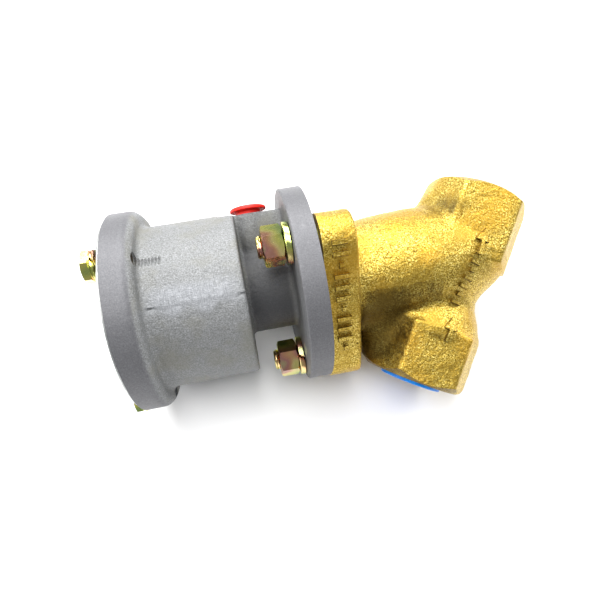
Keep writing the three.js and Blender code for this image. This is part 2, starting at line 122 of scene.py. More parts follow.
CHAMBER_R = 20
SEAT_BORE_R = 9.5
SEAT_X = 56.0
GAP = 0.3  # between touching pieces
COVER_R = 41.6
COVER_WASHER_R = 6.2
COVER_THICK = 1.0
COVER_WASHER_THICK = 1.1
COVER_HEAD = 3.4
COVER_OUTSIDE_X = COVER_FACE_X - GAP - COVER_THICK
RED_STANDOFF = 2.0

# ---------------------------------------------------------------- the valve's frame in the world


def centre(node):
    low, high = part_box(node)
    return (low + high) / 2


def axes_of_valve():
    stem = centre("stem")
    down = centre("body_stud_2") - stem
    y_axis = -Vector((0, down.y, down.z)).normalized()
    x_axis = Vector((1, 0, 0))
    turn = np.array([x_axis, y_axis, x_axis.cross(y_axis)], float).T
    origin = np.array([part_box("actuator_housing")[1].x, stem.y, stem.z], float)
    return turn, origin


TURN, ORIGIN = axes_of_valve()


def to_world(points):
    return np.asarray(points, float) @ TURN.T * MM + ORIGIN


def to_valve(points):
    return (np.asarray(points, float) - ORIGIN) @ TURN / MM


def direction(degrees):
    """A unit vector across the stem, at an angle from y towards z."""
    return np.array([0.0, math.cos(math.radians(degrees)), math.sin(math.radians(degrees))])


# ---------------------------------------------------------------- shells: points and faces


def skin(grid, loop_rows=False):
    """A closed shell over rows of rings. The rings close, and the ends take flat caps."""
    rows, columns = grid.shape[:2]
    points = grid.reshape(-1, 3)
    index = np.arange(rows * columns).reshape(rows, columns)
    following = np.roll(index, -1, axis=1)
    if loop_rows:
        corners = [index, following, np.roll(following, -1, axis=0), np.roll(index, -1, axis=0)]
        caps = []
    else:
        corners = [index[:-1], following[:-1], following[1:], index[1:]]
        caps = [index[0][::-1].tolist(), index[-1].tolist()]
    quads = np.stack(corners, -1).reshape(-1, 4)
    faces = quads.tolist() + caps
    a, b, c, d = (points[quads[:, i]] for i in range(4))
    volume = np.einsum("ij,ij->", a, np.cross(b, c)) + np.einsum("ij,ij->", a, np.cross(c, d))
    for cap in caps:
        fan = points[cap]
        volume += np.einsum("ij,ij->", np.tile(fan[0], (len(cap) - 2, 1)), np.cross(fan[1:-1], fan[2:]))
    if volume < 0:
        faces = [face[::-1] for face in faces]
    return points, faces


def ring_grid(xs, radii, segments):
    """Rows of circles about x. Radii are one number a row, or one a point."""
    angles = np.linspace(0, 2 * np.pi, segments, endpoint=False)
    xs = np.broadcast_to(np.asarray(xs, float)[:, None], (len(xs), segments))
    radii = np.asarray(radii, float)
    radii = np.broadcast_to(radii[:, None] if radii.ndim == 1 else radii, xs.shape)
    return np.stack([xs, radii * np.cos(angles), radii * np.sin(angles)], -1)


def lathe(profile, segments=96, loop=False):
    xs, radii = np.array(profile, float).T
    return skin(ring_grid(xs, radii, segments), loop)


def rod(x0, x1, radius, segments=96):
    return lathe([(x0, radius), (x1, radius)], segments)


def threaded(x0, x1, radius, depth, pitch, segments=48, chamfer=0.0):
    """A helical thread under a crest radius, or over one where the depth is negative."""
    rows = max(int(round((x1 - x0) / pitch * 7)), 2) + 1
    xs = np.linspace(x0, x1, rows)
    angles = np.linspace(0, 1, segments, endpoint=False)
    wave = np.abs(2 * np.mod(xs[:, None] / pitch - angles[None, :], 1) - 1)
    radii = radius - depth * np.clip(wave * 1.3 - 0.15, 0, 1)
    ends = np.minimum(xs - x0, x1 - xs)[:, None]
    if chamfer:
        radii = np.minimum(radii, radius - chamfer + ends)
    return skin(ring_grid(xs, radii, segments))


def block(low, high):
    low, high = np.array(low, float), np.array(high, float)
    corners = [(0, 0), (1, 0), (1, 1), (0, 1)]
    rows = [[(x, *pair) for pair in corners] for x in (0, 1)]
    return skin(low + np.array(rows, float) * (high - low))


def shifted(shell, offset):
    return shell[0] + np.array(offset, float), shell[1]


def turned(shell, degrees):
    """Turned about x, from y towards z."""
    c, s = math.cos(math.radians(degrees)), math.sin(math.radians(degrees))
    return shell[0] @ np.array([[1, 0, 0], [0, c, s], [0, -s, c]]), shell[1]


def aimed(shell, origin, degrees):
    """x turned towards y by an angle, and moved to a place."""
    c, s = math.cos(math.radians(degrees)), math.sin(math.radians(degrees))
    return shell[0] @ np.array([[c, s, 0], [-s, c, 0], [0, 0, 1]]) + np.array(origin, float), shell[1]


def up_run(shell):
    return aimed(shell, RUN_CROSSING, RUN_ANGLE)


def down_run(shell):
    return aimed(shell, RUN_CROSSING, RUN_ANGLE + 180)


def at_bolt(shell, circle, degrees):
    return shifted(shell, circle * direction(degrees))


def trimmed(shell, low, high):
    """The shell without what lies in a block."""
    thing = combine(new_object("trim", shell), [block(low, high)])
    places = to_valve([vertex.co for vertex in thing.data.vertices])
    faces = [list(face.vertices) for face in thing.data.polygons]
    bpy.data.objects.remove(thing)
    return places, faces


def joined(shells):
    points, faces, count = [], [], 0
    for shell in shells:
        points.append(shell[0])
        faces += [[i + count for i in face] for face in shell[1]]
        count += len(shell[0])
    return np.concatenate(points), faces


# ---------------------------------------------------------------- Blender objects


def placed(name, data):
    thing = bpy.data.objects.new(name, data)
    bpy.context.scene.collection.objects.link(thing)
    return thing


def new_object(name, shell):
    mesh = bpy.data.meshes.new(name)
    mesh.from_pydata(to_world(shell[0]).tolist(), [], shell[1])
    mesh.update()
    return placed(name, mesh)


def combine(thing, shells, operation="DIFFERENCE"):
    """Cuts, adds or intersects each shell in turn, and keeps the result as the mesh."""
    for shell in shells:
        tool = new_object("tool", shell)
        for solver in ("MANIFOLD", "EXACT"):
            step = thing.modifiers.new("step", "BOOLEAN")
            step.operation, step.solver, step.object = operation, solver, tool
            graph = bpy.context.evaluated_depsgraph_get()
            result = bpy.data.meshes.new_from_object(thing.evaluated_get(graph))
            thing.modifiers.remove(step)
            if len(result.polygons) and len(result.vertices) != len(thing.data.vertices):
                thing.data = result
                break
        else:
            print("combine: nothing changed on", thing.name)
        bpy.data.objects.remove(tool)
    return thing


def finished(thing, material, body, nodes, sharp=32):
    mesh = thing.data
    mesh.name = thing.name
    mesh.polygons.foreach_set("use_smooth", np.ones(len(mesh.polygons), bool))
    mesh.set_sharp_from_angle(angle=math.radians(sharp))
    mesh.materials.clear()
    mesh.materials.append(material)
    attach(thing, body)
    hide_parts(*nodes)
    return thing


def paint(thing, rule):
    """Writes a colour layer of masks, one value a face corner, from places and face normals."""
    mesh = thing.data
    index = np.empty(len(mesh.loops), np.int32)
    mesh.loops.foreach_get("vertex_index", index)
    places = np.empty(len(mesh.vertices) * 3, np.float32)
    mesh.vertices.foreach_get("co", places)
    normals = np.empty(len(mesh.polygons) * 3, np.float32)
    mesh.polygons.foreach_get("normal", normals)
    totals = np.empty(len(mesh.polygons), np.int32)
    mesh.polygons.foreach_get("loop_total", totals)
    masks = rule(to_valve(places.reshape(-1, 3))[index], np.repeat(normals.reshape(-1, 3) @ TURN, totals, 0))
    colours = np.ones((len(index), 4), np.float32)
    for channel, mask in enumerate(masks):
        colours[:, channel] = np.clip(mask, 0, 1)
    layer = mesh.attributes.new("masks", "FLOAT_COLOR", "CORNER")
    layer.data.foreach_set("color", colours.ravel())


# ---------------------------------------------------------------- distance fields for the castings


def grain(points, size, seed):
    """Smooth value noise from -1 to 1, over points in millimetres."""
    place = points / size + 31.7 * seed
    cell = np.floor(place).astype(np.int64)
    part = place - cell
    part = part * part * (3 - 2 * part)
    total = np.zeros(points.shape[:-1])
    for corner in range(8):
        offset = np.array([corner & 1, corner >> 1 & 1, corner >> 2 & 1])
        a, b, c = np.moveaxis(cell + offset, -1, 0)
        mixed = (a * 73856093 ^ b * 19349663 ^ c * 83492791 ^ seed * 2654435761) & 0xFFFFFFFF
        mixed = (mixed ^ mixed >> 15) * 2246822519 & 0xFFFFFFFF
        mixed = (mixed ^ mixed >> 13) * 3266489917 & 0xFFFFFFFF
        weight = np.prod(np.where(offset == 1, part, 1 - part), -1)
        total += ((mixed ^ mixed >> 16) % 65536 / 32767.5 - 1) * weight
    return total


def inside_outline(u, v, outline):
    """Signed distance to a closed polygon, negative inside."""
    nearest = np.full(u.shape, 1e6, np.float32)
    sign = np.ones(u.shape, np.float32)
    for (u0, v0), (u1, v1) in zip(outline, outline[1:] + outline[:1]):
        du, dv = u1 - u0, v1 - v0
        along = np.clip(((u - u0) * du + (v - v0) * dv) / (du * du + dv * dv), 0, 1)
        nearest = np.minimum(nearest, (u - u0 - along * du) ** 2 + (v - v0 - along * dv) ** 2)
        if dv:
            crossed = ((v >= v0) != (v >= v1)) & (u < (v - v0) * (du / dv) + u0)
            sign = np.where(crossed, -sign, sign)
    return sign * np.sqrt(nearest)


def turned_field(x, radius, profile):
    """Distance to a turned solid. The profile's ends are carried past the axis."""
    ends = [(profile[0][0], -40.0)] + list(profile) + [(profile[-1][0], -40.0)]
    return inside_outline(x, radius, ends)


def blended(a, b, reach):
    """Union with a fillet."""
    share = np.clip(0.5 + 0.5 * (b - a) / reach, 0, 1)
    return b + (a - b) * share - reach * share * (1 - share)


def rounded_slab(across, along, radius):
    """Extrusion of a 2-D field between two planes, with rounded edges."""
    a, b = across + radius, along + radius
    outside = np.hypot(np.maximum(a, 0), np.maximum(b, 0))
    return outside + np.minimum(np.maximum(a, b), 0) - radius


def capsule_field(p, start, end, radius):
    start, end = np.array(start, np.float32), np.array(end, np.float32)
    axis = end - start
    along = np.clip((p - start) @ axis / (axis @ axis), 0, 1)
    return np.linalg.norm(p - start - along[..., None] * axis, axis=-1) - radius


def surface_net(field, low, high, pitch):
    """Vertices and quads of the field's zero surface, moved onto it."""
    low = np.array(low, float)
    counts = np.ceil((np.array(high, float) - low) / pitch).astype(int) + 1
    lines = [low[i] + pitch * np.arange(counts[i]) for i in range(3)]
    values = field(np.stack(np.meshgrid(*lines, indexing="ij"), -1).astype(np.float32))
    cells = tuple(counts - 1)
    total = np.zeros(cells + (3,), np.float32)
    crossings = np.zeros(cells, np.float32)
    edges = []
    for axis in range(3):
        first = np.take(values, range(counts[axis] - 1), axis)
        second = np.take(values, range(1, counts[axis]), axis)
        crossed = (first < 0) != (second < 0)
        share = np.where(crossed, first / np.where(crossed, first - second, 1), 0)
        b, c = (axis + 1) % 3, (axis + 2) % 3
        for ob in (0, 1):
            for oc in (0, 1):
                part = [slice(None)] * 3
                part[b] = slice(ob, ob + cells[b])
                part[c] = slice(oc, oc + cells[c])
                hit = crossed[tuple(part)]
                crossings += hit
                total[..., axis] += share[tuple(part)]
                total[..., b] += ob * hit
                total[..., c] += oc * hit
        edges.append((axis, b, c, crossed, first < 0))
    active = crossings > 0
    number = np.full(cells, -1)
    number[active] = np.arange(active.sum())
    points = np.argwhere(active) + total[active] / crossings[active][:, None]
    quads = []
    for axis, b, c, crossed, lower_inside in edges:
        where = np.argwhere(crossed)
        flip = ~lower_inside[crossed]
        step_b, step_c = np.eye(3, dtype=int)[b], np.eye(3, dtype=int)[c]
        around = [where - step_b - step_c, where - step_c, where, where - step_b]
        quad = np.stack([number[tuple(cell.T)] for cell in around], -1)
        quad[flip] = quad[flip][:, ::-1]
        quads.append(quad)
    points = low + pitch * points
    for _ in range(2):
        value, slope = field(points.astype(np.float32)), slope_of(field, points)
        points = points - np.clip(value, -pitch / 2, pitch / 2)[:, None] * slope
    return points, np.concatenate(quads)


def slope_of(field, points):
    step = 0.05
    slope = np.stack([
        field((points + step * axis).astype(np.float32)) - field((points - step * axis).astype(np.float32))
        for axis in np.eye(3)], -1)
    return slope / np.maximum(np.linalg.norm(slope, axis=-1, keepdims=True), 1e-6)


def casting(name, field, low, high, pitch, relief):
    """A cast blank: the field's surface, moved out by the relief at each point."""
    points, quads = surface_net(field, low, high, pitch)
    slope = slope_of(field, points)
    points = points + slope * relief(points, slope)[:, None]
    return new_object(name, (points, quads.tolist()))


def arc(centre_x, centre_r, radius, start, end, steps):
    angles = np.radians(np.linspace(start, end, steps + 1))
    return [(centre_x + radius * math.cos(a), centre_r + radius * math.sin(a)) for a in angles]


# ---------------------------------------------------------------- actuator housing


def housing_field(p):
    x, y, z = p[..., 0], p[..., 1], p[..., 2]
    radius = np.hypot(y, z)
    edge, fillet, past, corner = 4.4, 1.9, 3.0, 1.1
    web_fillet, boss_fillet, flange_fillet, shoulder_fillet = 0.8, 2.4, 2.6, 2.2
    cup = turned_field(x, radius, [
        (COVER_FACE_X - past, FLANGE_R),
        *arc(COVER_FLANGE_BACK_X - edge, FLANGE_R - edge, edge, 90, 10, 5),
        *arc(COVER_FLANGE_BACK_X + fillet, CYLINDER_R + fillet, fillet, 180, 270, 5),
        *arc(SHOULDER_X - corner, CYLINDER_R - corner, corner, 90, 0, 3)])
    neck = np.maximum(radius - NECK_R, np.abs(x + 20) - 18)
    middle = (MOUNT_BACK_X + past) / 2
    mount = rounded_slab(radius - FLANGE_R, np.abs(x - middle) - (past - MOUNT_BACK_X) / 2, 0.7)
    across = np.hypot(x - AIR_X, z)
    post = np.maximum(across - AIR_BOSS_R, np.maximum(y - AIR_TOP - past, -y))
    web_half, web_end_x = 9, MOUNT_BACK_X + 1
    web_sides = np.maximum(np.abs(z) - web_half, np.maximum(y - AIR_TOP, -y))
    web = np.maximum(web_sides, np.maximum(AIR_X - x, x - web_end_x))
    boss = blended(post, web, web_fillet)
    neck = blended(blended(neck, boss, boss_fillet), mount, flange_fillet)
    return blended(cup, neck, shoulder_fillet)


def housing_relief(p, slope):
    """Cast grain, and on the cylinder a parting line with a small step and a notch at each end."""
    x, y, z = p.T
    radius = np.hypot(y, z)
    machined_rim = (radius > FLANGE_R - 0.5) & (np.abs(slope[:, 0]) < 0.2)
    rough = np.where(machined_rim, 0.25, 1.0)
    relief = rough * (0.075 * grain(p, 0.95, 1) + 0.06 * grain(p, 2.1, 2)) + 0.07 * grain(p, 9, 3)
    on_cylinder = (radius > CYLINDER_R - 0.6) & (radius < CYLINDER_R + 0.6) & (x > -66)
    drift = y + 0.25 * grain(p, 5, 4)
    mismatch = -0.17 / (1 + np.exp(drift * 5)) + 0.1 * np.exp(-((drift - 0.3) / 0.35) ** 2)
    ends = np.exp(-((x + 65.5) / 2.2) ** 2) + np.exp(-((x + 30.5) / 1.7) ** 2)
    notches = -0.75 * ends * np.exp(-((drift + 0.2) / 0.42) ** 2)
    return relief + np.where(on_cylinder, mismatch + notches, 0)


def housing_masks(p, normals):
    """Red: turned or smooth surfaces. Green: where the parting line was ground. Blue: shade in hollows."""
    x, y, z = p.T
    radius = np.hypot(y, z)
    flat = (np.abs(normals[:, 0]) > 0.999) & ((x < COVER_FACE_X + 0.05) | (x > -0.05))
    top = (normals[:, 1] > 0.999) & (y > AIR_TOP - 0.05)
    machined = flat | top | (radius < BORE_R + 0.1) & (x < SHOULDER_X - 3)
    rim = np.clip((radius - FLANGE_R + 1.3) / 0.8, 0, 1)
    back = np.clip((x + 12) / 3, 0, 1) * 0.75
    smooth = np.maximum(np.maximum(rim, back), machined)
    side = y + 2.5 * grain(p, 6, 5)
    ground = np.exp(-((side - 1.5) / 4.5) ** 4) * np.exp(-((x + 49) / 17) ** 6) * (radius > CYLINDER_R - 1)
    shade = np.clip((-x - 9) / 3, 0, 1) * np.clip((x - SHOULDER_X) / 2, 0, 1)
    shade = shade * np.clip((AIR_TOP - radius) / 14, 0.25, 1)
    return smooth, ground, shade


def build_housing(material):
    thing = casting("housing_casting", housing_field, (-84, -46, -46), (5, 46, 46), 0.68, housing_relief)
    faces = [
        block((COVER_FACE_X - 10, -60, -60), (COVER_FACE_X, 60, 60)),
        block((0, -60, -60), (12, 60, 60)),
        block((AIR_X - 14, AIR_TOP, -14), (MOUNT_BACK_X - 0.1, AIR_TOP + 8, 14)),
    ]
    bore = lathe([(COVER_FACE_X - 2, BORE_R + 0.9), (COVER_FACE_X, BORE_R + 0.9), (COVER_FACE_X + 1, BORE_R),
                  (FLOOR_X, BORE_R)], 128)
    bushing_end_x, packing_x, groove_r = -24.4, -22, PACKING_R + 1
    stem = lathe([(FLOOR_X - 1, BUSHING_R), (bushing_end_x, BUSHING_R), (bushing_end_x, STEM_HOLE_R),
                  (packing_x, STEM_HOLE_R), (packing_x, PACKING_R), (-1.9, PACKING_R), (-1.9, groove_r),
                  (-0.9, groove_r), (-0.9, PACKING_R), (-0.4, PACKING_R + 0.2), (0, PACKING_R + 0.6),
                  (2, PACKING_R + 0.6)])
    port = lathe([(AIR_PORT_FLOOR, AIR_PORT_R), (AIR_TOP - 0.8, AIR_PORT_R), (AIR_TOP, AIR_PORT_R + 0.8),
                  (AIR_TOP + 4, AIR_PORT_R + 0.8)], 64)
    feed = shifted(rod(FLOOR_X - 1, AIR_X, AIR_FEED_R, 24), (0, AIR_FEED_Y, 0))
    taps, holes = [], []
    for degrees in BOLT_ANGLES:
        tap = threaded(COVER_FACE_X - 1, COVER_FACE_X + 20.3, SCREW_R + 0.05, 0.6, SCREW_PITCH, 40)
        taps.append(at_bolt(tap, COVER_CIRCLE_R, degrees))
        hole = lathe([(MOUNT_BACK_X - 1, STUD_R + GAP), (-0.5, STUD_R + GAP), (0, STUD_R + 0.8),
                      (1, STUD_R + 0.8)], 48)
        holes.append(at_bolt(hole, STUD_CIRCLE_R, degrees))
    combine(thing, [*faces, bore, stem, joined(taps), joined(holes), aimed(port, (AIR_X, 0, 0), UP_Y), feed])
    paint(thing, housing_masks)
    return finished(thing, material, "valve", ["actuator_housing"])


# ---------------------------------------------------------------- valve body


def lobed_outline():
    """Three lobes round the studs, joined by shallow arcs."""
    lobe_y, lobe_z = STUD_CIRCLE_R / 2, STUD_CIRCLE_R * math.sqrt(3) / 2
    offset = FLAT_R - lobe_y
    side_r = (offset ** 2 + lobe_z ** 2 - LOBE_R ** 2) / (2 * (offset - LOBE_R))
    centre_y = FLAT_R - side_r
    tangent = math.atan2(lobe_z, lobe_y - centre_y)
    outline = []
    for turn in (0, 2 * math.pi / 3, 4 * math.pi / 3):
        points = [(centre_y + side_r * math.cos(a), side_r * math.sin(a))
                  for a in np.linspace(-tangent, tangent, 9)]
        points += [(lobe_y + LOBE_R * math.cos(a), lobe_z + LOBE_R * math.sin(a))
                   for a in np.linspace(tangent, 2 * math.pi / 3 - tangent, 12)[1:-1]]
        c, s = math.cos(turn), math.sin(turn)
        outline += [(y * c - z * s + OUTLINE_SHIFT_Y, y * s + z * c) for y, z in points]
    return outline


OUTLINE = lobed_outline()
BARREL = [(8, 24.8), (12.1, 24.8), (19.1, 23.6), (28, 24.4), (38, 25.3), (48, 25.6), (57, 25.2),
          *arc(58, 4, 21, 80, 8, 8)]
NECK = [(-40, 20), (-38, 22), (-34, 22.4), (-28, 20), (-22, 16.8), (-18, 15.9), (-14, 17), (-6, 21),
        (-1, 22.6), (4, 22.6)]


def hex_field(along, across, z, low, high):
    field = np.abs(along - (low + high) / 2) - (high - low) / 2
    sides = None
    for turn in range(0, 360, 60):
        angle = math.radians(HEX_FLAT_ANGLE + turn)
        side = across * math.cos(angle) + z * math.sin(angle) - HEX_AF / 2
        sides = side if sides is None else -blended(-sides, -side, 1.3)
    return rounded_slab(sides, field, 0.9)


BELLY = ((29, -10, 0), (37, -41, 0), 12.8)  # two rounded swellings on the lower side
BELLY_FOOT = ((25, -18, 0), (27.5, -33.5, 0), 9.3)
BACK_SWELL_R = 15.3  # and one behind the run, between two places along it
BACK_SWELL_SPAN = (16, 31)
BACK_SWELL_STEP = 8


def body_field(p):
    x, y, z = p[..., 0], p[..., 1], p[..., 2]
    barrel = turned_field(x, np.hypot(y, z), BARREL)
    c, s = RUN_COS, RUN_SIN
    along = (x - RUN_CROSSING[0]) * c + y * s
    across = y * c - (x - RUN_CROSSING[0]) * s
    neck = turned_field(along, np.hypot(across, z), NECK)
    run_fillet, belly_fillet, hex_fillet, draft_fillet, flange_fillet = 4.5, 5, 2.6, 1.6, 3.2
    shape = blended(barrel, neck, run_fillet)
    belly = blended(capsule_field(p, *BELLY), capsule_field(p, *BELLY_FOOT), 4)
    step = np.array([-s, c, 0]) * BACK_SWELL_STEP
    head, foot = (np.array(RUN_CROSSING) + step - span * np.array([c, s, 0]) for span in BACK_SWELL_SPAN)
    back = capsule_field(p, head, foot, BACK_SWELL_R)
    shape = blended(blended(shape, belly, belly_fillet), back, belly_fillet)
    past = 0.9  # the blanks run past their machined ends
    upper = hex_field(along, across, z, -1, UPPER_ARM + past)
    lean = math.radians(HEX_DRAFT)
    drafted = along * math.sin(lean) + across * math.cos(lean) - HEX_DRAFT_REACH
    upper = -blended(-upper, -drafted, draft_fillet)
    lower = hex_field(along, across, z, -LOWER_ARM - past, -35)
    shape = blended(blended(shape, upper, hex_fillet), lower, hex_fillet)
    flange = np.full(x.shape, 12.0, np.float32)
    near = x < BODY_BACK_X + 9
    past = 3.0
    middle = (BODY_FACE_X - past + BODY_BACK_X) / 2
    thick = np.abs(x[near] - middle) - (BODY_BACK_X - BODY_FACE_X + past) / 2
    flange[near] = rounded_slab(inside_outline(y[near], z[near], OUTLINE), thick, 1.5)
    return blended(shape, flange, flange_fillet)


def body_relief(p, _):
    return 0.085 * grain(p, 0.9, 11) + 0.08 * grain(p, 2.3, 12) + 0.12 * grain(p, 8, 13)


def laid_strip(start, end, widths, height, field):
    """A raised strip on the marked side, from start to end in x and y, dropped onto the field along -z."""
    start, end = np.array(start, float), np.array(end, float)
    along = end - start
    side = np.array([-along[1], along[0]]) / np.linalg.norm(along)
    shares, halves = np.array(widths, float).T
    columns = np.array([-1, -0.72, 0, 0.72, 1])
    flat = start + shares[:, None, None] * along + (halves[:, None] * columns)[..., None] * side
    above_all = 46.0
    points = np.concatenate([flat, np.full(flat.shape[:2] + (1,), above_all)], -1)
    for _ in range(40):
        points[..., 2] -= 0.85 * field(points.astype(np.float32))
    top, bottom = points.copy(), points[:, ::-1].copy()
    top[..., 2] += height * np.array([0.55, 1, 1, 1, 0.55])
    bottom[..., 2] -= 1.2
    return skin(np.concatenate([top, bottom], 1))


ARROW = [(0, 1.1), (0.25, 1.0), (0.5, 1.0), (0.52, 2.9), (0.78, 1.6), (1, 0.3)]
BAR = [(share, 0.9) for share in (0.0, 0.25, 0.5, 0.75, 1.0)]
WIDE_BAR = [(share, 1.05) for share, _ in BAR]


def on_run(along, across=0.0):
    c, s = RUN_COS, RUN_SIN
    return RUN_CROSSING[0] + along * c - across * s, along * s + across * c


def body_marks():
    """Generic flow arrows and size bars along the run, and a row of bars on the flange's edge."""
    shells = [laid_strip(on_run(-1), on_run(11), ARROW, 1.5, body_field),
              laid_strip(on_run(-40), on_run(-29.5), ARROW, 1.4, body_field)]
    for step in range(6):
        place = -22.5 + 3.6 * step
        half = 1.3 if step % 3 == 1 else 2.3
        shells.append(laid_strip(on_run(place, -half), on_run(place, half), BAR, 1.35, body_field))
    for step in range(11):
        place = 12.5 - 4.3 * step
        low, high = (4.7, 10.7) if step % 4 != 2 else (6.9, 8.7)
        shells.append(laid_strip((low, place), (high, place), WIDE_BAR, 1.5, body_field))
    return joined(shells)


def mark_side_shadows(p, normals):
    """1 on the steep sides of the raised marks, where painted shadow darkens them."""
    x, y, z = p.T
    c, s = RUN_COS, RUN_SIN
    near_run = np.abs(y * c - (x - RUN_CROSSING[0]) * s) < 3.5
    near = (z > 12) & ((x > 4) & (x < 11.4) & (y > -37) & (y < 16) | near_run & (x > 30))
    sides = np.zeros(len(p))
    slope = slope_of(body_field, p[near])
    sides[near] = np.clip((0.82 - np.einsum("ij,ij->i", slope, normals[near])) * 3, 0, 1)
    return sides


# Spots of painted shade: darker brown in the crotches under the barrel, where the bronze lies in shadow.
PAINTED_SHADE_SPOTS = [  # centre x and y, spread x and y, depth
    (24, -21, 9, 9, 1.25),
    (63, 21.5, 5, 4.5, 0.9),
    (26, -29, 8, 9, 0.9),
]


def body_masks(p, normals):
    """Red: machined faces. Green: orange stains. Blue: painted shade in the hollows near the flange, on faces
    turned away from the light and on the sides of the raised marks.
    """
    x, y, z = p.T
    c, s = RUN_COS, RUN_SIN
    along = (x - RUN_CROSSING[0]) * c + y * s
    radial = np.hypot(y * c - (x - RUN_CROSSING[0]) * s, z)
    tilt = np.abs(normals[:, 0] * c + normals[:, 1] * s)
    ends = ((along > UPPER_ARM - 0.05) | (along < -LOWER_ARM + 0.05)) & (tilt > 0.999)
    face = (x < BODY_FACE_X + 0.05) & (np.abs(normals[:, 0]) > 0.999)
    bores = (radial < PORT_R + 1.5) & ((along > 5) | (along < -40))
    machined = ends | face | bores
    stain = np.clip(grain(p, 11, 14) * 1.6, 0, 1)
    mottled = 1 + 0.35 * grain(p, 3, 15)
    # painted shade spots in the hollows under the barrel
    hollow = sum(depth * np.exp(-(((x - u) / du) ** 2 + ((y - v) / dv) ** 2)) for u, v, du, dv, depth in PAINTED_SHADE_SPOTS)
    hollow = hollow * (z > -4) * (x > BODY_BACK_X)
    # painted shade on the faces of the lower flank that turn down and away from the light
    facing = normals @ np.array([-0.72, -0.66, 0.2])
    hollow = hollow + np.clip((facing - 0.25) * 2.2, 0, 0.95) * (x < 52) * (x > BODY_BACK_X) * (y < -8)
    # the steep sides of the raised marks take painted shadow as well
    hollow = hollow * mottled + 0.9 * mark_side_shadows(p, normals)
    return machined, stain, hollow


def build_body(material):
    thing = casting("body_casting", body_field, (-3, -72, -41), (111, 45, 41), 0.74, body_relief)
    combine(thing, [body_marks()], "UNION")
    flange_face = block((-12, -60, -60), (BODY_FACE_X, 60, 60))
    drop = 8.0
    wide, long = 42, 9
    end_cutter = [(0, HEX_FACE_R), (-drop * HEX_SLOPE, HEX_FACE_R + drop), (-drop * HEX_SLOPE, wide),
                  (long, wide), (long, HEX_FACE_R)]
    upper_end = up_run(shifted(lathe(end_cutter, 128, True), (UPPER_ARM, 0, 0)))
    lower_end = down_run(shifted(lathe(end_cutter, 128, True), (LOWER_ARM, 0, 0)))
    lower_end = trimmed(lower_end, (-40, -120, -60), (BODY_BACK_X + 0.6, 60, 60))
    upper_face = up_run(rod(UPPER_ARM, UPPER_ARM + long + 0.5, HEX_FACE_R + 1, 128))
    lower_face = down_run(rod(LOWER_ARM, LOWER_ARM + long + 0.5, HEX_FACE_R + 1, 128))
    trough_r, lip_r = 16, 11.6
    chamber = lathe([(BODY_FACE_X - 2, CHAMBER_R), (SEAT_X - 3, CHAMBER_R), (SEAT_X - 3, trough_r),
                     (SEAT_X, trough_r), (SEAT_X, lip_r), (SEAT_X - 2.5, lip_r),
                     (SEAT_X - 2.5, SEAT_BORE_R + 0.4),
                     (SEAT_X - 2, SEAT_BORE_R), (SEAT_X + 10, SEAT_BORE_R)])
    hollow_x, hollow_r = 70.5, 13
    hollow = lathe([(hollow_x + hollow_r * math.sin(a), hollow_r * math.cos(a))
                    for a in np.linspace(-1.5, 1.5, 25)], 64)
    riser_foot, riser_length, riser_r = (51, -33, 0), 29.95, 10.5  # from the lower port up to the seat
    riser = rod(-4, riser_length, riser_r, 64)
    riser_angle = math.degrees(math.atan2(27, -13))
    upper_bore = lathe([(5, PORT_R), (UPPER_ARM - 1.6, PORT_R), (UPPER_ARM, PORT_R + 1.6),
                        (UPPER_ARM + 5, PORT_R + 1.6)])
    lower_bore = lathe([(36, PORT_R), (LOWER_ARM + 5, PORT_R)])
    thread = threaded(UPPER_ARM - 16, UPPER_ARM + 1, PORT_R + 0.95, 1.1, PORT_PITCH, 72)
    studs = [at_bolt(rod(BODY_FACE_X - 1, BODY_FACE_X + 11.7, STUD_R + GAP, 48), STUD_CIRCLE_R, degrees)
             for degrees in BOLT_ANGLES]
    combine(thing, [
        flange_face, upper_end, lower_end, upper_face, lower_face, chamber,
        aimed(riser, riser_foot, riser_angle), shifted(hollow, (0, 3, 0)), up_run(upper_bore),
        down_run(lower_bore), up_run(thread), joined(studs)])
    paint(thing, body_masks)
    return finished(thing, material, "valve", ["valve_body"])


# ---------------------------------------------------------------- cover, gasket and fasteners


def build_cover(material):
    outside, inside, radius, edge = COVER_OUTSIDE_X, COVER_FACE_X - GAP, COVER_R, 0.35
    middle_r = 6.0
    plate = lathe([
        (outside, middle_r), (outside, radius - edge), (outside + 0.13, radius - 0.13),
        (outside + edge, radius),
        (inside - 0.2, radius), (inside, radius - 0.2), (inside, middle_r)], 160)
    thing = new_object("cover_disc", plate)
    holes = [at_bolt(rod(outside - 1, inside + 1, SCREW_R + GAP, 40), COVER_CIRCLE_R, a) for a in BOLT_ANGLES]
    vent_r, vent_y = 2.5, 14
    vent = lathe([(outside - 1, vent_r + 0.7), (outside, vent_r + 0.7), (outside + 0.5, vent_r),
                  (inside + 1, vent_r)], 40)
    combine(thing, [joined(holes + [shifted(vent, (0, vent_y, 0))])])
    return finished(thing, material, "valve", ["cover_plate"])


def build_gasket(material):
    inner, outer, low, high = 19.0, 26.4, 0.25, 0.95
    profile = [(low, inner), (high, inner), (high, outer - 0.15), ((low + high) / 2, outer),
               (low, outer - 0.15)]
    points, faces = lathe(profile, 120, loop=True)
    spread = np.hypot(points[:, 1], points[:, 2]) / outer
    points[:, 1:] *= (1 + 0.006 * np.clip(spread - 0.8, 0, 1) * grain(points, 4, 21))[:, None]
    thing = new_object("body_gasket_ring", (points, faces))
    return finished(thing, material, "valve", ["body_gasket"])


